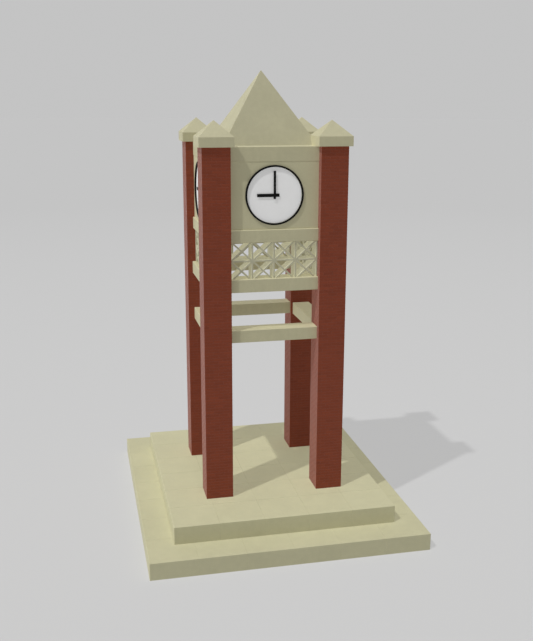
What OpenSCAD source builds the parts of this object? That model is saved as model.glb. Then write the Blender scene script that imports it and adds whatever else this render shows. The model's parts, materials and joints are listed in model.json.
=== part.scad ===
// Four-post clock tower: brick piers on a stepped plinth carry a lattice, a clock stage and a pyramid roof.
// Millimetres, +Z up. The origin is at ground level under the middle of the tower, and the front faces -Y.

/* [Plinth] */
// Width of the lower step, left to right
lower_step_w = 6050; // [5400:10:8000]
// Depth of the lower step, front to back
lower_step_d = 6870; // [6000:10:9000]
// Height of the lower step
lower_step_h = 380; // [150:5:600]
// Width of the upper step, left to right
upper_step_w = 4880; // [4200:10:5300]
// Depth of the upper step, front to back
upper_step_d = 5520; // [4200:10:5900]
// Height of the upper step
upper_step_h = 394; // [150:2:600]
// Chamfer on the edges of both steps
step_arris = 8; // [4:1:40]

/* [Columns] */
// Side of each square brick column
column_w = 600; // [480:10:760]
// Clear width between two columns
column_gap = 1926; // [1700:2:2300]
// How far a cap stands out past its column
cap_overhang = 70; // [30:1:120]
// Height of a cap's straight edge
cap_edge_h = 204; // [120:1:320]
// Height of a cap's peak over that edge
cap_peak_h = 330; // [150:2:500]

/* [Beams] */
// Clear height under the tie beams
passage_h = 3544; // [2600:2:4200]
// Height of the tie beams
tie_h = 276; // [200:2:400]
// Thickness of the tie beams
tie_t = 408; // [250:2:450]
// How far the tie beams sit behind the columns' outer faces
tie_setback = 141; // [100:1:180]
// Open height between the tie beams and the sills
upper_gap_h = 840; // [500:5:1200]
// Height of the sills under the lattices
sill_h = 284; // [150:2:400]
// Height of the bands over the lattices
band_h = 270; // [150:2:400]
// Thickness of the sills and bands
course_t = 420; // [300:2:450]
// How far the sills sit behind the columns' outer faces
sill_setback = 116; // [80:1:150]
// How far the bands sit behind the columns' outer faces
band_setback = 144; // [100:1:160]
// Height of the top beams under the roof
top_beam_h = 316; // [180:2:400]
// Thickness of the top beams
top_beam_t = 420; // [360:2:430]
// How far the top beams sit behind the columns' outer faces
top_beam_setback = 174; // [120:1:180]
// Chamfer on the outer edges of all beams
beam_arris = 10; // [3:1:25]

/* [Lattice] */
// Height of each lattice panel
lattice_h = 784; // [500:2:1100]
// Depth of the bars, front to back
lattice_depth = 350; // [120:2:380]
// How far the lattices sit behind the columns' outer faces
lattice_setback = 164; // [140:1:190]
// Width of an upright or level bar
bar_w = 28; // [20:1:60]
// Width of a slanting bar
brace_w = 24; // [16:1:50]
// Cells from left to right
cells_across = 4; // [2:1:6]
// Cells from bottom to top
cells_up = 2; // [1:1:4]

/* [Clock stage] */
// Height of the clock walls
wall_h = 1418; // [1400:2:1800]
// Thickness of the clock walls
wall_t = 200; // [100:5:240]
// How far the clock walls sit behind the columns' outer faces
wall_setback = 183; // [165:1:230]
// Height of the dial's centre over the band
dial_rise = 722; // [660:2:780]
// Diameter over the dial's rim
rim_d = 1258; // [1000:2:1300]
// Width of the rim, seen from the front
rim_w = 38; // [15:1:80]
// How far the rim stands out from the wall
rim_proud = 40; // [34:1:140]
// Chamfer on the rim's front edges
rim_arris = 5; // [1:1:7]
// Thickness of the dial
dial_t = 12; // [6:1:20]
// How far the dial's face lies behind the wall's face
dial_inset = 2; // [0:1:20]

/* [Hands] */
// Minute hand, from its axis to its tip
minute_l = 510; // [400:2:540]
// Minute hand, from its axis to the end of its tail
minute_tail = 78; // [50:2:200]
// Width of the minute hand
minute_w = 50; // [40:1:80]
// Hour hand, from its axis to its tip
hour_l = 378; // [250:2:400]
// Hour hand, from its axis to the end of its tail
hour_tail = 104; // [50:2:200]
// Width of the hour hand
hour_w = 68; // [50:1:90]
// Thickness of both hands
hand_t = 6; // [4:1:9]
// Space between the dial and the hour hand
hand_standoff = 18; // [8:1:22]
// Space between the two hands
hand_gap = 6; // [5:0.5:7]
// Diameter of the minute hand's arbor
arbor_d = 26; // [16:1:30]
// Wall of the hour hand's pipe
pipe_wall = 6; // [4:0.5:8]
// Running clearance around the arbor and around the pipe
running_gap = 0.3; // [0.1:0.05:0.5]

/* [Roof] */
// Height of the roof from its eaves to its peak
roof_h = 1562; // [1000:2:2200]
// Thickness of the roof slopes
roof_t = 120; // [80:2:160]
// Ledge on the top beams in front of the eaves
roof_ledge = 356; // [240:2:380]

/* [Fits] */
// Joint between the roof slopes and the caps that they meet
flashing_gap = 2; // [1:0.5:10]
// Joint around a dial in its pocket
dial_gap = 0.8; // [0.3:0.1:5]

/* [Hidden] */

cream_stone = [0.73, 0.71, 0.60];
red_brick = [0.47, 0.25, 0.19];
dial_white = [0.86, 0.86, 0.85];
rim_black = [0.03, 0.03, 0.03];

// Sides count from the front, anticlockwise seen from above, and so do the corners from the front left
front = 0;
right = 1;
back = 2;
left = 3;
sides = [front, right, back, left];
front_left = 0;
front_right = 1;
back_right = 2;
back_left = 3;
corners = [front_left, front_right, back_right, back_left];
quarter_turn = 90;
round_fn = 96;
// Cutters run past the faces that they cut by this much
past = 1;

column_face = column_gap / 2 + column_w;
column_centre = (column_gap + column_w) / 2;
cap_half = column_w / 2 + cap_overhang;

// Levels, from the ground up
lower_step_top = lower_step_h;
plinth_top = lower_step_top + upper_step_h;
tie_bottom = plinth_top + passage_h;
sill_bottom = tie_bottom + tie_h + upper_gap_h;
lattice_bottom = sill_bottom + sill_h;
band_bottom = lattice_bottom + lattice_h;
wall_bottom = band_bottom + band_h;
top_beam_bottom = wall_bottom + wall_h;
eaves = top_beam_bottom + top_beam_h;
column_h = eaves - plinth_top;

// Clock, measured out from the wall's face
wall_face = column_face - wall_setback;
dial_centre = wall_bottom + dial_rise;
rim_inner_r = rim_d / 2 - rim_w;
dial_r = rim_inner_r - dial_gap;
arbor_r = arbor_d / 2;
pipe_bore_r = arbor_r + running_gap;
pipe_r = pipe_bore_r + pipe_wall;
clock_bore_r = pipe_r + running_gap;
pocket_depth = dial_inset + dial_t;
hour_back = hand_standoff - dial_inset;
minute_back = hour_back + hand_t + hand_gap;

// Roof
roof_half = column_face - top_beam_setback - roof_ledge;
roof_slant = sqrt(roof_h * roof_h + roof_half * roof_half);
roof_run_t = roof_t * roof_slant / roof_h;

module on_side(side) {
    rotate([0, 0, quarter_turn * side])
        children();
}

// A slab with its upper edges and its corners chamfered
module step_slab(w, d, h) {
    intersection() {
        linear_extrude(h)
            polygon(chamfered_plan(w, d, step_arris));
        rotate([quarter_turn, 0, 0])
            linear_extrude(d, center = true)
                polygon(chamfered_edge(w, h, step_arris));
        rotate([quarter_turn, 0, quarter_turn])
            linear_extrude(w, center = true)
                polygon(chamfered_edge(d, h, step_arris));
    }
}

function chamfered_plan(w, d, c) = [
    [-w / 2 + c, -d / 2], [w / 2 - c, -d / 2], [w / 2, -d / 2 + c], [w / 2, d / 2 - c],
    [w / 2 - c, d / 2], [-w / 2 + c, d / 2], [-w / 2, d / 2 - c], [-w / 2, -d / 2 + c]
];

function chamfered_edge(span, h, c) = [
    [-span / 2, 0], [span / 2, 0], [span / 2, h - c],
    [span / 2 - c, h], [-span / 2 + c, h], [-span / 2, h - c]
];

// A bar from column to column, from its cross-section in Y and Z
module between_columns(section) {
    rotate([quarter_turn, 0, quarter_turn])
        linear_extrude(column_gap, center = true)
            polygon(section);
}

function beam_section(outer, t, h) = [
    [-outer, beam_arris], [-outer + beam_arris, 0], [-outer + t, 0],
    [-outer + t, h], [-outer + beam_arris, h], [-outer, h - beam_arris]
];

module lower_step() {
    color(cream_stone)
        step_slab(lower_step_w, lower_step_d, lower_step_h);
}

module upper_step() {
    color(cream_stone)
        translate([0, 0, lower_step_top])
            step_slab(upper_step_w, upper_step_d, upper_step_h);
}

module column(corner) {
    color(red_brick)
        on_side(corner)
            translate([-column_centre, -column_centre, plinth_top + column_h / 2])
                cube([column_w, column_w, column_h], center = true);
}

// A cap, or with a gap the space that it takes up among its neighbours
module cap(gap = 0) {
    half = cap_half + gap;
    translate([-half, -half, -gap])
        cube([2 * half, 2 * half, cap_edge_h + gap]);
    translate([0, 0, cap_edge_h])
        square_peak(half, cap_peak_h * half / cap_half);
}

// A square pyramid, as two crossing ridges
module square_peak(half, h) {
    ridge = [[-half, 0], [half, 0], [0, h]];
    intersection() {
        rotate([quarter_turn, 0, 0])
            linear_extrude(2 * half, center = true)
                polygon(ridge);
        rotate([quarter_turn, 0, quarter_turn])
            linear_extrude(2 * half, center = true)
                polygon(ridge);
    }
}

module all_caps(gap = 0) {
    for (corner = corners)
        on_side(corner)
            translate([-column_centre, -column_centre, eaves])
                cap(gap);
}

module column_caps() {
    color(cream_stone)
        all_caps();
}

module tie_beam(side) {
    color(cream_stone)
        on_side(side)
            translate([0, 0, tie_bottom])
                between_columns(beam_section(column_face - tie_setback, tie_t, tie_h));
}

module sill(side) {
    color(cream_stone)
        on_side(side)
            translate([0, 0, sill_bottom])
                between_columns(beam_section(column_face - sill_setback, course_t, sill_h));
}

module band(side) {
    color(cream_stone)
        on_side(side)
            translate([0, 0, band_bottom])
                between_columns(beam_section(column_face - band_setback, course_t, band_h));
}

module top_beam(side) {
    color(cream_stone)
        on_side(side)
            translate([0, 0, top_beam_bottom])
                between_columns(beam_section(column_face - top_beam_setback, top_beam_t, top_beam_h));
}

// A straight bar between two points of the panel
module bar(from, to, w) {
    run = to - from;
    translate(from)
        rotate(atan2(run[1], run[0]))
            translate([0, -w / 2])
                square([norm(run), w]);
}

// Uprights and levels on the lines of a grid, with two braces crossing in each cell
module lattice_panel() {
    pitch_x = (column_gap - bar_w) / cells_across;
    pitch_y = (lattice_h - bar_w) / cells_up;
    for (i = [0:cells_across])
        translate([i * pitch_x, 0])
            square([bar_w, lattice_h]);
    for (j = [0:cells_up])
        translate([0, j * pitch_y])
            square([column_gap, bar_w]);
    translate([bar_w / 2, bar_w / 2])
        for (i = [1:cells_across], j = [1:cells_up]) {
            low = [(i - 1) * pitch_x, (j - 1) * pitch_y];
            high = [i * pitch_x, j * pitch_y];
            bar(low, high, brace_w);
            bar([low[0], high[1]], [high[0], low[1]], brace_w);
        }
}

module lattice(side) {
    color(cream_stone)
        on_side(side)
            translate([-column_gap / 2, lattice_setback + lattice_depth - column_face, lattice_bottom])
                rotate([quarter_turn, 0, 0])
                    linear_extrude(lattice_depth)
                        lattice_panel();
}

// Things on the dial's axis: Z leads outwards from the wall's face, and Y is up
module on_dial(side) {
    on_side(side)
        translate([0, -wall_face, dial_centre])
            rotate([quarter_turn, 0, 0])
                children();
}

// A wall with a round pocket for the dial, and the bore for the clock's pipe
module clock_wall(side) {
    color(cream_stone)
        difference() {
            on_side(side)
                translate([-column_gap / 2, -wall_face, wall_bottom])
                    cube([column_gap, wall_t, wall_h]);
            on_dial(side) {
                translate([0, 0, -pocket_depth])
                    cylinder(r = rim_inner_r, h = pocket_depth + past, $fn = round_fn);
                translate([0, 0, -wall_t - past])
                    cylinder(r = clock_bore_r, h = wall_t + 2 * past, $fn = round_fn);
            }
        }
}

module clock_dials() {
    color(dial_white)
        for (side = sides)
            on_dial(side)
                translate([0, 0, -pocket_depth])
                    difference() {
                        cylinder(r = dial_r, h = dial_t, $fn = round_fn);
                        translate([0, 0, -past])
                            cylinder(r = clock_bore_r, h = dial_t + 2 * past, $fn = round_fn);
                    }
}

module clock_rims() {
    rim_r = rim_d / 2;
    section = [
        [rim_inner_r, 0], [rim_r, 0], [rim_r, rim_proud - rim_arris], [rim_r - rim_arris, rim_proud],
        [rim_inner_r + rim_arris, rim_proud], [rim_inner_r, rim_proud - rim_arris]
    ];
    color(rim_black)
        for (side = sides)
            on_dial(side)
                rotate_extrude($fn = round_fn)
                    polygon(section);
}

// A hand's blade, pointing along +X from its axis
module blade(l, tail, w) {
    translate([-tail, -w / 2, 0])
        cube([l + tail, w, hand_t]);
}

// Points to nine, on a pipe that runs through the dial to the wall's inner face
module hour_hand(side) {
    color(rim_black)
        on_dial(side)
            difference() {
                union() {
                    translate([0, 0, hour_back])
                        rotate(2 * quarter_turn)
                            blade(hour_l, hour_tail, hour_w);
                    translate([0, 0, -wall_t])
                        cylinder(r = pipe_r, h = wall_t + hour_back + hand_t, $fn = round_fn);
                }
                translate([0, 0, -wall_t - past])
                    cylinder(r = pipe_bore_r, h = wall_t + hour_back + hand_t + 2 * past, $fn = round_fn);
            }
}

// Points to twelve, on an arbor inside the hour hand's pipe
module minute_hand(side) {
    color(rim_black)
        on_dial(side) {
            translate([0, 0, minute_back])
                rotate(quarter_turn)
                    blade(minute_l, minute_tail, minute_w);
            translate([0, 0, -wall_t])
                cylinder(r = arbor_r, h = wall_t + minute_back + hand_t, $fn = round_fn);
        }
}

// One slope of the roof, mitred to its neighbours at the hips and cut round the caps
module roof_slope(side) {
    section = [
        [-roof_half, 0], [-roof_half + roof_run_t, 0],
        [0, roof_h * (1 - roof_run_t / roof_half)], [0, roof_h]
    ];
    color(cream_stone)
        difference() {
            on_side(side)
                translate([0, 0, eaves])
                    intersection() {
                        rotate([quarter_turn, 0, quarter_turn])
                            linear_extrude(2 * roof_half, center = true)
                                polygon(section);
                        linear_extrude(roof_h)
                            polygon([[0, 0], [-roof_half, -roof_half], [roof_half, -roof_half]]);
                    }
            all_caps(flashing_gap);
        }
}

lower_step();
upper_step();
column(front_left);  // front_left_column
column(front_right);  // front_right_column
column(back_right);  // back_right_column
column(back_left);  // back_left_column
column_caps();
tie_beam(front);  // front_tie_beam
tie_beam(right);  // right_tie_beam
tie_beam(back);  // back_tie_beam
tie_beam(left);  // left_tie_beam
sill(front);  // front_sill
sill(right);  // right_sill
sill(back);  // back_sill
sill(left);  // left_sill
lattice(front);  // front_lattice
lattice(right);  // right_lattice
lattice(back);  // back_lattice
lattice(left);  // left_lattice
band(front);  // front_band
band(right);  // right_band
band(back);  // back_band
band(left);  // left_band
clock_wall(front);  // front_clock_wall
clock_wall(right);  // right_clock_wall
clock_wall(back);  // back_clock_wall
clock_wall(left);  // left_clock_wall
top_beam(front);  // front_top_beam
top_beam(right);  // right_top_beam
top_beam(back);  // back_top_beam
top_beam(left);  // left_top_beam
roof_slope(front);  // front_roof_slope
roof_slope(right);  // right_roof_slope
roof_slope(back);  // back_roof_slope
roof_slope(left);  // left_roof_slope
clock_dials();
clock_rims();
hour_hand(front);  // front_hour_hand
hour_hand(right);  // right_hour_hand
hour_hand(back);  // back_hour_hand
hour_hand(left);  // left_hour_hand
minute_hand(front);  // front_minute_hand
minute_hand(right);  // right_minute_hand
minute_hand(back);  // back_minute_hand
minute_hand(left);  // left_minute_hand
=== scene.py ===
import json
import math
import random

import bpy
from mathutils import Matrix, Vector


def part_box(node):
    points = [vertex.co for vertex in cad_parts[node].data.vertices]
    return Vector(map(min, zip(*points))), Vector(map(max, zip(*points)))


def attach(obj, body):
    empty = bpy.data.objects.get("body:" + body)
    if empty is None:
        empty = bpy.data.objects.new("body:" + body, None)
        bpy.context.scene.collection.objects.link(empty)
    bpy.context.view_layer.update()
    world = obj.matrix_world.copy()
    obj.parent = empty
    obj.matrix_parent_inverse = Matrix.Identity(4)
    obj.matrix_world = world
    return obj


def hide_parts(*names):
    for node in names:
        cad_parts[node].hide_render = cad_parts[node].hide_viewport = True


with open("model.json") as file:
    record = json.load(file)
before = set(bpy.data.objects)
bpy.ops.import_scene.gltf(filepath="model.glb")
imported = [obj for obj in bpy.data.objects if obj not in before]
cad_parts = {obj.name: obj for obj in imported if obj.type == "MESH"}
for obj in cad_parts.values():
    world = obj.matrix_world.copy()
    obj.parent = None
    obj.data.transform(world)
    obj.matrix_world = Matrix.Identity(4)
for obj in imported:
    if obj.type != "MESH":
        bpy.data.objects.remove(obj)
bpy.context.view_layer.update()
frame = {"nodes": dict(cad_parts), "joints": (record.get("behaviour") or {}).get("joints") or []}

SIDES = ("front", "right", "back", "left")
CORNERS = ("front_left", "front_right", "back_right", "back_left")
X, Y, Z = Vector((1, 0, 0)), Vector((0, 1, 0)), Vector((0, 0, 1))
QUARTER_TURN = math.radians(90)

# Points closer than this are one
NEARLY = 0.001
# A face points along an axis if its normal reaches this far along it
FACING = 0.9

# Brickwork
BED_JOINT = 0.0095
BRICK_RISE = 0.057
BRICKS_ACROSS = 3
BRICK_ARRIS = 0.002
RAKED_DEPTH = 0.003
UNEVEN_BY = 0.0006
TONE_MIDDLE, TONE_SPREAD = 0.5, 0.2

# Plinth stones
STONE_LENGTH = 0.98
STONE_JOINT = 0.006
STONE_JOINT_DEPTH = 0.005
STONE_ARRIS = 0.008

# Lattice panels: their bars, how far they lie behind the sill's front, and how far their end bars are let in
LATTICE_BAR = 0.036
LATTICE_EDGE_BAR = 0.015
LATTICE_RECESS = 0.076
LATTICE_IN_SILL = 0.052
LATTICE_IN_BAND = 0.031
LATTICE_ARRIS = 0.003
CELLS_ACROSS, CELLS_UP = 4, 2

# Boss that holds a minute hand on its arbor
BOSS_D = 0.050
BOSS_RISE = 0.007
BOSS_ARRIS = 0.003

# Colours, as linear light
CREAM = (0.47, 0.444, 0.288, 1)
LATTICE_CREAM = (0.450, 0.435, 0.309, 1)
WALL_CREAM = (0.482, 0.457, 0.296, 1)
# Painted shade: the roof slopes are darker than the other cream stone, and the sunny left slope is painted
# lighter than the rest
SHADED_ROOF_CREAM = (0.366, 0.346, 0.226, 1)
SUNNY_ROOF_CREAM = (0.415, 0.394, 0.262, 1)
# Painted shade and painted light: the lower step is a shade darker and the upper step a shade lighter than
# the cream stone
LOWER_STEP_CREAM = (0.452, 0.432, 0.278, 1)
UPPER_STEP_CREAM = (0.480, 0.461, 0.298, 1)
STONE_MORTAR_CREAM = (0.395, 0.378, 0.246, 1)
BRICK_RED = (0.199, 0.0405, 0.0160, 1)
MORTAR_RED = (0.184, 0.0470, 0.0250, 1)
DIAL_WHITE = (0.872, 0.872, 0.867, 1)
PAINT_BLACK = (0.004, 0.004, 0.004, 1)

# Gloss and dust
STONE_GLOSS = 0.3
BRICK_GLOSS = 0.12
ENAMEL_GLOSS = 0.5
PAINT_GLOSS = 0.08
BRICK_DUST = 0.2
DUST_ROUGHNESS = 0.5

# Painted shade: the tone of sloping faces against upright ones, told apart by how far their normals point up
SLOPE_SHADE = 0.885
UPRIGHT, SLOPING = 0.2, 0.6
# Rain runs to the metre, along X, Y and Z
RAIN_RUNS = (9, 9, 0.7)

# The span that most of a noise lies in
NOISE_LOW, NOISE_HIGH = 0.3, 0.7

# Studio
FLOOR_REACH = 400.0
FLOOR_NEAR = (0.2875, 0.2875, 0.2875, 1)
FLOOR_FAR = (0.2445, 0.2445, 0.2445, 1)
FLOOR_FADE_START, FLOOR_FADE_END = 5, 60
FLOOR_GLOW = 0.27
AIR_SEEN = (0.55, 0.55, 0.55, 1)
AIR_LIGHT = (0.20, 0.20, 0.20, 1)
LIGHT_DISTANCE = 20
KEY_TRAVEL = Vector((0.457, 0.297, -0.839))
KEY_STRENGTH = 1.36
KEY_ANGLE = math.radians(1.2)
FILL_ANGLE = math.radians(30)
FILLS = {
    "top_fill": (-Z, 1.72),
    "left_fill": (X, 1.50),
    "front_fill": (Y, 0.34),
    "right_fill": (-X, 0.30),
    "back_fill": (-Y, 0.30),
}

# Camera
CAMERA_PLACE = (-4.185, -19.593, 9.516)
CAMERA_TILT = math.radians(75.750)
CAMERA_ROLL = math.radians(-0.137)
CAMERA_YAW = math.radians(-12.409)
CAMERA_LENS = 49.612
CAMERA_SENSOR = 36.0


# Finishes
def new_finish(name, gloss, dust=0.0):
    """A material with its gloss and dusty sheen set, and the piece's own coordinates for its pattern."""
    material = bpy.data.materials.new(name)
    material.use_nodes = True
    shader = material.node_tree.nodes["Principled BSDF"]
    shader.inputs["Specular IOR Level"].default_value = gloss
    shader.inputs["Sheen Weight"].default_value = dust
    shader.inputs["Sheen Roughness"].default_value = DUST_ROUGHNESS
    place = material.node_tree.nodes.new("ShaderNodeTexCoord").outputs["Object"]
    return material, shader, place


def stretched(material, place, scale):
    """The same coordinates, drawn out differently along X, Y and Z."""
    mapping = material.node_tree.nodes.new("ShaderNodeMapping")
    mapping.inputs["Scale"].default_value = scale
    material.node_tree.links.new(place, mapping.inputs["Vector"])
    return mapping.outputs["Vector"]


def cloud(material, place, per_metre, detail=2.0):
    """Soft noise from 0 to 1, with so many patches to the metre."""
    noise = material.node_tree.nodes.new("ShaderNodeTexNoise")
    noise.inputs["Scale"].default_value = per_metre
    noise.inputs["Detail"].default_value = detail
    material.node_tree.links.new(place, noise.inputs["Vector"])
    return noise.outputs["Fac"]


def between(material, value, low, high, from_low=NOISE_LOW, from_high=NOISE_HIGH):
    """A value stretched to run from low to high."""
    span = material.node_tree.nodes.new("ShaderNodeMapRange")
    span.inputs["From Min"].default_value = from_low
    span.inputs["From Max"].default_value = from_high
    span.inputs["To Min"].default_value = low
    span.inputs["To Max"].default_value = high
    material.node_tree.links.new(value, span.inputs["Value"])
    return span.outputs["Result"]


def product(material, *values):
    """The values multiplied together."""
    total = values[0]
    for value in values[1:]:
        times = material.node_tree.nodes.new("ShaderNodeMath")
        times.operation = "MULTIPLY"
        material.node_tree.links.new(total, times.inputs[0])
        material.node_tree.links.new(value, times.inputs[1])
        total = times.outputs["Value"]
    return total


def paint(material, shader, colour, shade):
    """Sets the shader's colour, lightened and darkened by the shade."""
    tint = material.node_tree.nodes.new("ShaderNodeHueSaturation")
    tint.inputs["Color"].default_value = colour
    material.node_tree.links.new(shade, tint.inputs["Value"])
    material.node_tree.links.new(tint.outputs["Color"], shader.inputs["Base Color"])


def roughen(material, shader, height, depth):
    """Raises the surface by the height, which runs from 0 to 1, times the depth in metres."""
    bump = material.node_tree.nodes.new("ShaderNodeBump")
    bump.inputs["Distance"].default_value = depth
    material.node_tree.links.new(height, bump.inputs["Height"])
    material.node_tree.links.new(bump.outputs["Normal"], shader.inputs["Normal"])


def dull(material, shader, worn, low, high):
    """Lets the roughness run from low to high with a noise."""
    material.node_tree.links.new(between(material, worn, low, high), shader.inputs["Roughness"])


def slope_shade(material):
    """Painted shade: the darker tone given to faces that slope upwards, against upright ones."""
    tilt = material.node_tree.nodes.new("ShaderNodeSeparateXYZ")
    normal = material.node_tree.nodes.new("ShaderNodeNewGeometry").outputs["True Normal"]
    material.node_tree.links.new(normal, tilt.inputs["Vector"])
    upwards = tilt.outputs["Z"]
    return between(material, upwards, low=1.0, high=SLOPE_SHADE, from_low=UPRIGHT, from_high=SLOPING)


def cast_stone(name, colour, slope_shaded=False):
    """Cream cast stone: fine sandy grain, faint mottling, faint runs where rain comes down, and painted
    shade on upward sloping faces when asked for.
    """
    material, shader, place = new_finish(name, STONE_GLOSS)
    mottle = cloud(material, place, per_metre=1.4)
    spots = cloud(material, place, per_metre=11.0, detail=4.0)
    runs = cloud(material, stretched(material, place, RAIN_RUNS), per_metre=1.0, detail=3.0)
    grain = cloud(material, place, per_metre=330.0, detail=3.0)
    shade = product(
        material,
        between(material, mottle, low=0.97, high=1.03),
        between(material, spots, low=0.975, high=1.025),
        between(material, runs, low=0.975, high=1.02),
        between(material, grain, low=0.93, high=1.07),
    )
    if slope_shaded:
        # Upward sloping faces are painted darker, as painted shade
        shade = product(material, shade, slope_shade(material))
    paint(material, shader, colour, shade)
    dull(material, shader, spots, low=0.56, high=0.68)
    roughen(material, shader, grain, depth=0.0006)
    return material


def plinth_stone(name, colour):
    """The plinth's cast stone: coarser, with patches that feet have worn smoother."""
    material, shader, place = new_finish(name, STONE_GLOSS)
    mottle = cloud(material, place, per_metre=0.9)
    spots = cloud(material, place, per_metre=7.0, detail=5.0)
    grain = cloud(material, place, per_metre=260.0, detail=3.0)
    shade = product(
        material,
        between(material, mottle, low=0.97, high=1.03),
        between(material, spots, low=0.97, high=1.03),
        between(material, grain, low=0.92, high=1.08),
    )
    paint(material, shader, colour, shade)
    dull(material, shader, spots, low=0.53, high=0.71)
    roughen(material, shader, grain, depth=0.0008)
    return material


def smooth_render():
    """The clock walls' smooth cream render, with the float's broad marks."""
    material, shader, place = new_finish("cream_wall_render", STONE_GLOSS)
    mottle = cloud(material, place, per_metre=1.8)
    float_marks = cloud(material, place, per_metre=16.0, detail=3.0)
    grain = cloud(material, place, per_metre=420.0)
    shade = product(
        material,
        between(material, mottle, low=0.975, high=1.025),
        between(material, float_marks, low=0.98, high=1.02),
        between(material, grain, low=0.95, high=1.05),
    )
    paint(material, shader, WALL_CREAM, shade)
    dull(material, shader, float_marks, low=0.58, high=0.70)
    roughen(material, shader, product(material, float_marks, grain), depth=0.0008)
    return material


def facing_brick():
    """Red facing brick: every brick has its own tone, with a sanded face and darker flecks."""
    material, shader, place = new_finish("red_facing_brick", BRICK_GLOSS, BRICK_DUST)
    own_tone = material.node_tree.nodes.new("ShaderNodeAttribute")
    own_tone.attribute_name = "brick_tone"
    flecks = cloud(material, place, per_metre=90.0, detail=4.0)
    sand = cloud(material, place, per_metre=420.0, detail=3.0)
    shade = product(
        material,
        between(material, own_tone.outputs["Fac"], low=0.90, high=1.10, from_low=0.0, from_high=1.0),
        between(material, flecks, low=0.90, high=1.08),
        between(material, sand, low=0.90, high=1.10),
    )
    paint(material, shader, BRICK_RED, shade)
    dull(material, shader, flecks, low=0.52, high=0.68)
    roughen(material, shader, sand, depth=0.0008)
    return material


def tinted_mortar():
    """Mortar tinted to go with the brick."""
    material, shader, place = new_finish("tinted_mortar", BRICK_GLOSS, BRICK_DUST)
    patches = cloud(material, place, per_metre=14.0)
    sand = cloud(material, place, per_metre=380.0, detail=3.0)
    shade = product(
        material,
        between(material, patches, low=0.92, high=1.08),
        between(material, sand, low=0.88, high=1.12),
    )
    paint(material, shader, MORTAR_RED, shade)
    dull(material, shader, sand, low=0.68, high=0.82)
    roughen(material, shader, sand, depth=0.001)
    return material


def dial_enamel():
    """White enamel, satin, with the faintest clouding."""
    material, shader, place = new_finish("white_dial_enamel", ENAMEL_GLOSS)
    clouding = cloud(material, place, per_metre=5.0, detail=3.0)
    specks = cloud(material, place, per_metre=160.0)
    ripple = cloud(material, place, per_metre=60.0)
    shade = product(
        material,
        between(material, clouding, low=0.985, high=1.01),
        between(material, specks, low=0.99, high=1.01),
    )
    paint(material, shader, DIAL_WHITE, shade)
    dull(material, shader, ripple, low=0.38, high=0.46)
    roughen(material, shader, ripple, depth=0.0003)
    return material


def black_paint():
    """Black paint on metal, satin, with the slight ripple of a brushed coat."""
    material, shader, place = new_finish("black_metal_paint", PAINT_GLOSS)
    ripple = cloud(material, place, per_metre=140.0, detail=3.0)
    paint(material, shader, PAINT_BLACK, between(material, ripple, low=0.8, high=1.3))
    dull(material, shader, ripple, low=0.44, high=0.56)
    roughen(material, shader, ripple, depth=0.0003)
    return material


STONE = cast_stone("cream_cast_stone", CREAM)
LATTICE = cast_stone("lattice_cast_stone", LATTICE_CREAM)
# The caps' upward slopes take painted shade
CAPS = cast_stone("slope_shaded_cap_stone", CREAM, slope_shaded=True)
# The roof's darker tone is painted shade, and the left slope's lighter tone is painted light
ROOF = cast_stone("shaded_roof_stone", SHADED_ROOF_CREAM)
SUNNY_ROOF = cast_stone("sunny_roof_stone", SUNNY_ROOF_CREAM)
# The steps' tones carry painted shade (lower) and painted light (upper)
LOWER_STEP = plinth_stone("lower_step_cast_stone", LOWER_STEP_CREAM)
UPPER_STEP = plinth_stone("upper_step_cast_stone", UPPER_STEP_CREAM)
STONE_MORTAR = plinth_stone("stone_joint_mortar", STONE_MORTAR_CREAM)
WALL_RENDER = smooth_render()
BRICK = facing_brick()
BRICK_MORTAR = tinted_mortar()
ENAMEL = dial_enamel()
PAINT = black_paint()


def finish_of(node):
    """The finish that a node of the frame takes."""
    if node == "clock_dials":
        return ENAMEL
    if node == "clock_rims" or node.endswith("_hand"):
        return PAINT
    if node.endswith("_column"):
        return BRICK
    if node == "lower_step":
        return LOWER_STEP
    if node == "upper_step":
        return UPPER_STEP
    if node.endswith("_lattice"):
        return LATTICE
    if node.endswith("_clock_wall"):
        return WALL_RENDER
    if node == "column_caps":
        return CAPS
    # The left slope's lighter tone is painted light; the other slopes take painted shade
    if node == "left_roof_slope":
        return SUNNY_ROOF
    if node.endswith("_roof_slope"):
        return ROOF
    return STONE


# Making
def deselect():
    """Leaves nothing selected, so that the next operators act on their own piece."""
    bpy.ops.object.select_all(action="DESELECT")


def pick(*pieces):
    """Selects these pieces, with the first one active."""
    deselect()
    for piece in pieces:
        piece.select_set(True)
    bpy.context.view_layer.objects.active = pieces[0]


def open_mesh(piece):
    """Opens a piece in edit mode with all of it selected."""
    pick(piece)
    bpy.ops.object.mode_set(mode="EDIT")
    bpy.ops.mesh.select_all(action="SELECT")


def close_mesh():
    """Leaves edit mode."""
    bpy.ops.object.mode_set(mode="OBJECT")


def open_edges(piece, wanted):
    """Opens a piece in edit mode with only the wanted edges selected."""
    pick(piece)
    bpy.ops.object.mode_set(mode="EDIT")
    bpy.ops.mesh.select_mode(type="EDGE")
    bpy.ops.mesh.select_all(action="DESELECT")
    bpy.ops.object.mode_set(mode="OBJECT")
    for edge in piece.data.edges:
        edge.select = wanted(edge)
    bpy.ops.object.mode_set(mode="EDIT")


def ends_of(piece, edge):
    """The places of an edge's two ends."""
    return [piece.data.vertices[v].co for v in edge.vertices]


def block(name, low, high):
    """A box between two corners, as a start to be shaped."""
    deselect()
    low, high = Vector(low), Vector(high)
    bpy.ops.mesh.primitive_cube_add(size=1, location=(low + high) / 2, scale=high - low)
    bpy.ops.object.transform_apply(location=True, rotation=True, scale=True)
    piece = bpy.context.object
    piece.name = piece.data.name = name
    return piece


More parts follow.
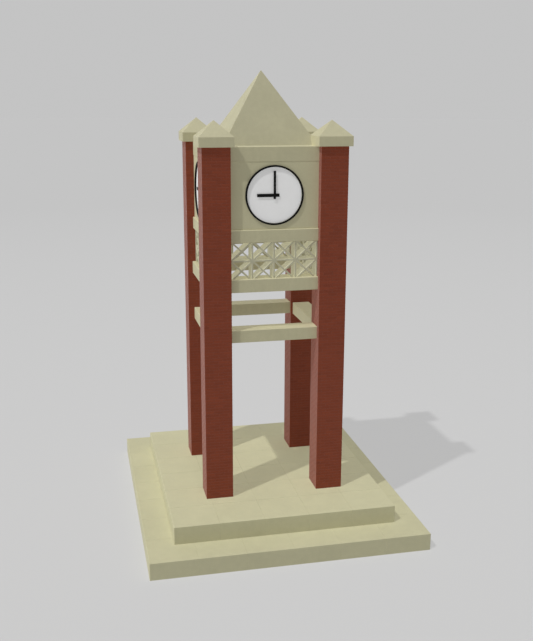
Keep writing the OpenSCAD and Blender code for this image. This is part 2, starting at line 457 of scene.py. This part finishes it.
def repeat(piece, count, step):
    """Copies a piece in a row, joined to it."""
    pick(piece)
    bpy.ops.object.modifier_add(type="ARRAY")
    row = piece.modifiers[-1]
    row.count = count
    row.use_relative_offset = False
    row.use_constant_offset = True
    row.constant_offset_displace = step
    bpy.ops.object.modifier_apply(modifier=row.name)


def thicken(sheet, depth):
    """Gives a sheet its thickness, behind its face."""
    pick(sheet)
    bpy.ops.object.modifier_add(type="SOLIDIFY")
    wall = sheet.modifiers[-1]
    wall.thickness = depth
    wall.offset = -1
    bpy.ops.object.modifier_apply(modifier=wall.name)


def copy_of(piece, name):
    """A copy of a piece with its own mesh."""
    pick(piece)
    bpy.ops.object.duplicate(linked=False)
    twin = bpy.context.object
    twin.name = twin.data.name = name
    return twin


def move(piece, by, turn=0.0):
    """Turns a piece about the upright through the origin, moves it, and keeps both in its mesh."""
    pick(piece)
    piece.rotation_euler.z = turn
    piece.location = by
    bpy.ops.object.transform_apply(location=True, rotation=True, scale=True)


def copy_to_side(piece, quarter, name):
    """A copy of a front piece, turned by so many quarters to another side."""
    twin = copy_of(piece, name)
    move(twin, (0, 0, 0), quarter * QUARTER_TURN)
    return twin


def join(first, *others):
    """Makes one piece of several."""
    pick(first, *others)
    bpy.ops.object.join()
    return first


def coat(piece, *finishes):
    """Gives a piece its finishes, in the order of its material slots."""
    piece.data.materials.clear()
    for material in finishes:
        piece.data.materials.append(material)


# Brick columns
COLUMN_LOW, COLUMN_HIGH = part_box("front_left_column")
COLUMN_W = COLUMN_HIGH.x - COLUMN_LOW.x
COLUMN_H = COLUMN_HIGH.z - COLUMN_LOW.z
BRICK_L = (COLUMN_W - (BRICKS_ACROSS - 1) * BED_JOINT) / BRICKS_ACROSS
BRICK_W = (BRICK_L - BED_JOINT) / 2
COURSE_PAIRS = round((COLUMN_H - BED_JOINT) / (BRICK_RISE + BED_JOINT) / 2)
COURSE_H = (COLUMN_H - BED_JOINT) / (2 * COURSE_PAIRS)
BRICK_H = COURSE_H - BED_JOINT


def one_brick(length, width, corner):
    """A brick with its arrises taken off, from its lowest corner."""
    corner = Vector(corner)
    brick = block("brick", corner, corner + Vector((length, width, BRICK_H)))
    open_mesh(brick)
    bpy.ops.mesh.bevel(offset=BRICK_ARRIS, segments=1, affect="EDGES")
    close_mesh()
    return brick


def one_course():
    """A course round the pier: stretchers along the front and back, and two between them on each side."""
    edge = -COLUMN_W / 2
    rows = one_brick(BRICK_L, BRICK_W, (edge, edge, BED_JOINT))
    repeat(rows, BRICKS_ACROSS, (BRICK_L + BED_JOINT, 0, 0))
    repeat(rows, 2, (0, COLUMN_W - BRICK_W, 0))
    returns = one_brick(BRICK_W, BRICK_L, (edge, edge + BRICK_W + BED_JOINT, BED_JOINT))
    repeat(returns, BRICKS_ACROSS - 1, (0, BRICK_L + BED_JOINT, 0))
    repeat(returns, 2, (COLUMN_W - BRICK_W, 0, 0))
    return join(rows, returns)


def brick_pier():
    """A whole pier of bricks about the upright through the origin, each course crossing the one below."""
    pier = one_course()
    upper = copy_of(pier, "upper_course")
    move(upper, Z * COURSE_H, QUARTER_TURN)
    join(pier, upper)
    repeat(pier, COURSE_PAIRS, (0, 0, 2 * COURSE_H))
    coat(pier, BRICK)
    return pier


def faces_of_a_brick():
    """How many faces one brick has."""
    sample = one_brick(BRICK_L, BRICK_W, (0, 0, 0))
    count = len(sample.data.polygons)
    bpy.data.objects.remove(sample)
    return count


def tone_bricks(pier, seed, faces_each):
    """Gives every brick of a pier a tone of its own."""
    draw = random.Random(seed)
    bricks = len(pier.data.polygons) // faces_each
    tones = [draw.gauss(TONE_MIDDLE, TONE_SPREAD) for _ in range(bricks)]
    tone = pier.data.attributes.new("brick_tone", "FLOAT", "FACE")
    tone.data.foreach_set("value", [t for t in tones for _ in range(faces_each)])


def unsettle(pier, seed):
    """Moves the corners of the bricks by a hair, as hand-laid bricks are never quite true."""
    open_mesh(pier)
    bpy.ops.transform.vertex_random(offset=UNEVEN_BY, uniform=0.0, normal=0.0, seed=seed)
    close_mesh()


faces_each = faces_of_a_brick()
raked = Vector((RAKED_DEPTH, RAKED_DEPTH, 0))
pattern = brick_pier()
for seed, corner in enumerate(CORNERS):
    low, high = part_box(f"{corner}_column")
    column = copy_of(pattern, f"{corner}_brickwork")
    move(column, ((low.x + high.x) / 2, (low.y + high.y) / 2, low.z))
    unsettle(column, seed)
    tone_bricks(column, seed, faces_each)
    core = block("mortar_core", low + raked, high - raked)
    coat(core, BRICK_MORTAR)
    join(column, core)
    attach(column, "tower")
    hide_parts(f"{corner}_column")
bpy.data.objects.remove(pattern)


# Plinth stones
def joint_lines(start, length):
    """Where the joints lie along one side of a step, with equal stones between them."""
    stones = round(length / STONE_LENGTH)
    return [start + length * i / stones for i in range(1, stones)]


def cut_joints(axis, lines):
    """Cuts the open mesh along both edges and the middle of each joint."""
    for line in lines:
        for side in (-STONE_JOINT / 2, 0, STONE_JOINT / 2):
            bpy.ops.mesh.select_all(action="SELECT")
            bpy.ops.mesh.bisect(plane_co=axis * (line + side), plane_no=axis)


def sink_joints(step, lines_x, lines_y):
    """Presses the middle of each joint in, and gives back the points pressed."""
    bpy.ops.mesh.select_mode(type="VERT")
    bpy.ops.mesh.select_all(action="DESELECT")
    bpy.ops.object.mode_set(mode="OBJECT")
    for vertex in step.data.vertices:
        on_x = min(abs(vertex.co.x - line) for line in lines_x) < STONE_JOINT / 4
        on_y = min(abs(vertex.co.y - line) for line in lines_y) < STONE_JOINT / 4
        vertex.select = on_x or on_y
    pressed = {vertex.index for vertex in step.data.vertices if vertex.select}
    bpy.ops.object.mode_set(mode="EDIT")
    bpy.ops.transform.shrink_fatten(value=-STONE_JOINT_DEPTH)
    close_mesh()
    return pressed


def step_of_stones(node):
    """A step as laid stones: its edges eased, and the joints between the stones cut as grooves."""
    low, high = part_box(node)
    size = high - low
    lines_x, lines_y = joint_lines(low.x, size.x), joint_lines(low.y, size.y)
    step = block(f"{node}_stones", low, high)
    open_edges(step, lambda edge: any(end.z > low.z + STONE_ARRIS for end in ends_of(step, edge)))
    bpy.ops.mesh.bevel(offset=STONE_ARRIS, segments=1, affect="EDGES")
    cut_joints(X, lines_x)
    cut_joints(Y, lines_y)
    in_joints = sink_joints(step, lines_x, lines_y)
    coat(step, finish_of(node), STONE_MORTAR)
    for face in step.data.polygons:
        face.material_index = 0 if in_joints.isdisjoint(face.vertices) else 1
    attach(step, "tower")
    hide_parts(node)


for node in ("lower_step", "upper_step"):
    step_of_stones(node)


# Lattice panels
def lattice_cell(low, size):
    """One cell as a sheet: poked to its middle, each quarter inset, and the openings taken out."""
    deselect()
    bpy.ops.mesh.primitive_plane_add(size=1, location=low + size / 2, rotation=(QUARTER_TURN, 0, 0))
    cell = bpy.context.object
    cell.scale = (size.x, size.z, 1)
    bpy.ops.object.transform_apply(location=True, rotation=True, scale=True)
    open_mesh(cell)
    bpy.ops.mesh.select_mode(type="FACE")
    bpy.ops.mesh.poke()
    bpy.ops.mesh.inset(thickness=LATTICE_BAR / 2, use_individual=True)
    bpy.ops.mesh.delete(type="FACE")
    close_mesh()
    return cell


def lattice_sheet(first, last):
    """The cells side by side between two corners, as one sheet."""
    size = Vector(((last.x - first.x) / CELLS_ACROSS, 0, (last.z - first.z) / CELLS_UP))
    sheet = lattice_cell(first, size)
    repeat(sheet, CELLS_ACROSS, (size.x, 0, 0))
    repeat(sheet, CELLS_UP, (0, 0, size.z))
    open_mesh(sheet)
    bpy.ops.mesh.remove_doubles(threshold=NEARLY)
    close_mesh()
    return sheet


def widen_outer_bars(sheet, first, last):
    """Draws the sheet's left and right borders out to the columns."""
    for border, outwards in ((first.x, -X), (last.x, X)):
        open_edges(sheet, lambda edge: all(abs(end.x - border) < NEARLY for end in ends_of(sheet, edge)))
        bpy.ops.mesh.extrude_region_move(TRANSFORM_OT_translate={"value": outwards * LATTICE_EDGE_BAR})
        close_mesh()


def ease_front(panel):
    """Takes off the arrises where the panel's front meets the walls of its openings."""
    fronts, walls = set(), set()
    for face in panel.data.polygons:
        (fronts if face.normal.y < -FACING else walls).update(face.edge_keys)
    open_edges(panel, lambda edge: edge.key in fronts & walls)
    bpy.ops.mesh.bevel(offset=LATTICE_ARRIS, segments=1, affect="EDGES")
    close_mesh()


def trim(panel, low_z, high_z):
    """Cuts off what is below or above two levels, and closes the cuts."""
    open_mesh(panel)
    for level, beyond in ((low_z, "clear_inner"), (high_z, "clear_outer")):
        bpy.ops.mesh.select_all(action="SELECT")
        bpy.ops.mesh.bisect(plane_co=Z * level, plane_no=Z, use_fill=True, **{beyond: True})
    close_mesh()


def lattice_panel():
    """The front's lattice, cast as one piece, with its end bars let into the sill and the band."""
    low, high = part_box("front_lattice")
    sill_low, sill_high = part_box("front_sill")
    front, back = sill_low.y + LATTICE_RECESS, sill_high.y
    first = Vector((low.x + LATTICE_EDGE_BAR, front, low.z - LATTICE_IN_SILL))
    last = Vector((high.x - LATTICE_EDGE_BAR, front, high.z + LATTICE_IN_BAND))
    panel = lattice_sheet(first, last)
    widen_outer_bars(panel, first, last)
    thicken(panel, back - front)
    ease_front(panel)
    trim(panel, low.z, high.z)
    coat(panel, finish_of("front_lattice"))
    return panel


pattern = lattice_panel()
for quarter, side in enumerate(SIDES):
    panel = copy_to_side(pattern, quarter, f"{side}_lattice_panel")
    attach(panel, "tower")
    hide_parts(f"{side}_lattice")
bpy.data.objects.remove(pattern)


# Bosses on the minute hands
def hand_boss():
    """The front's boss: low and round with an eased edge, on the arbor's end."""
    hand_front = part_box("front_minute_hand")[0].y
    axis_z = frame["joints"][0]["pos_m"][2]
    deselect()
    bpy.ops.mesh.primitive_cylinder_add(
        radius=BOSS_D / 2, depth=BOSS_RISE, vertices=32,
        location=(0, hand_front - BOSS_RISE / 2, axis_z), rotation=(QUARTER_TURN, 0, 0),
    )
    bpy.ops.object.transform_apply(location=True, rotation=True, scale=True)
    boss = bpy.context.object
    for face in boss.data.polygons:
        face.select = face.normal.y < -FACING
    bpy.ops.object.mode_set(mode="EDIT")
    bpy.ops.mesh.select_mode(type="FACE")
    bpy.ops.mesh.bevel(offset=BOSS_ARRIS, segments=3, affect="EDGES")
    close_mesh()
    coat(boss, PAINT)
    return boss


pattern = hand_boss()
for quarter, side in enumerate(SIDES):
    boss = copy_to_side(pattern, quarter, f"{side}_hand_boss")
    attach(boss, f"{side}_minute_hand")
bpy.data.objects.remove(pattern)


# Finishes of the solids
for name, node in frame["nodes"].items():
    for material_slot in node.material_slots:
        material_slot.material = finish_of(name)


# Studio
def pale_floor():
    """A wide plain floor that fades to the tone of the air."""
    deselect()
    bpy.ops.mesh.primitive_circle_add(vertices=128, radius=FLOOR_REACH, fill_type="NGON", location=(0, 0, 0))
    floor = bpy.context.object
    floor.name = "floor"
    material, shader, place = new_finish("pale_floor", gloss=0.0)
    shader.inputs["Emission Color"].default_value = (1, 1, 1, 1)
    shader.inputs["Emission Strength"].default_value = FLOOR_GLOW
    nodes, links = material.node_tree.nodes, material.node_tree.links
    distance = nodes.new("ShaderNodeVectorMath")
    distance.operation = "LENGTH"
    links.new(place, distance.inputs[0])
    away = distance.outputs["Value"]
    share = between(material, away, low=0, high=1, from_low=FLOOR_FADE_START, from_high=FLOOR_FADE_END)
    fade = nodes.new("ShaderNodeMix")
    fade.data_type = "RGBA"
    near, far = [socket for socket in fade.inputs if socket.type == "RGBA"]
    near.default_value = FLOOR_NEAR
    far.default_value = FLOOR_FAR
    faded = [socket for socket in fade.outputs if socket.type == "RGBA"][0]
    links.new(share, fade.inputs["Factor"])
    links.new(faded, shader.inputs["Base Color"])
    coat(floor, material)


def studio_air():
    """Even light from all round, with a paler tone where the camera sees past the floor."""
    air = bpy.data.worlds.new("studio_air")
    air.use_nodes = True
    nodes, links = air.node_tree.nodes, air.node_tree.links
    light = nodes["Background"]
    light.inputs["Color"].default_value = AIR_LIGHT
    seen = nodes.new("ShaderNodeBackground")
    seen.inputs["Color"].default_value = AIR_SEEN
    choice = nodes.new("ShaderNodeMixShader")
    links.new(nodes.new("ShaderNodeLightPath").outputs["Is Camera Ray"], choice.inputs["Fac"])
    links.new(light.outputs["Background"], choice.inputs[1])
    links.new(seen.outputs["Background"], choice.inputs[2])
    links.new(choice.outputs["Shader"], nodes["World Output"].inputs["Surface"])
    bpy.context.scene.world = air


def sun(name, travel, strength, angle=FILL_ANGLE, casts_shadow=False):
    """A light from far away that shines along its travel. A fill is wide and casts no shadow."""
    deselect()
    bpy.ops.object.light_add(type="SUN", location=-LIGHT_DISTANCE * travel)
    light = bpy.context.object
    light.name = name
    light.rotation_euler = travel.to_track_quat("-Z", "Y").to_euler()
    light.data.energy = strength
    light.data.angle = angle
    light.data.use_shadow = casts_shadow


pale_floor()
sun("key_light", KEY_TRAVEL, KEY_STRENGTH, KEY_ANGLE, casts_shadow=True)
for name, (travel, strength) in FILLS.items():
    sun(name, travel, strength)
studio_air()
bpy.context.scene.view_settings.view_transform = "Standard"

deselect()
bpy.ops.object.camera_add(location=CAMERA_PLACE, rotation=(CAMERA_TILT, CAMERA_ROLL, CAMERA_YAW))
camera = bpy.context.object
camera.name = "camera"
camera.data.lens = CAMERA_LENS
camera.data.sensor_width = CAMERA_SENSOR
camera.data.clip_end = 2 * FLOOR_REACH
bpy.context.scene.camera = camera
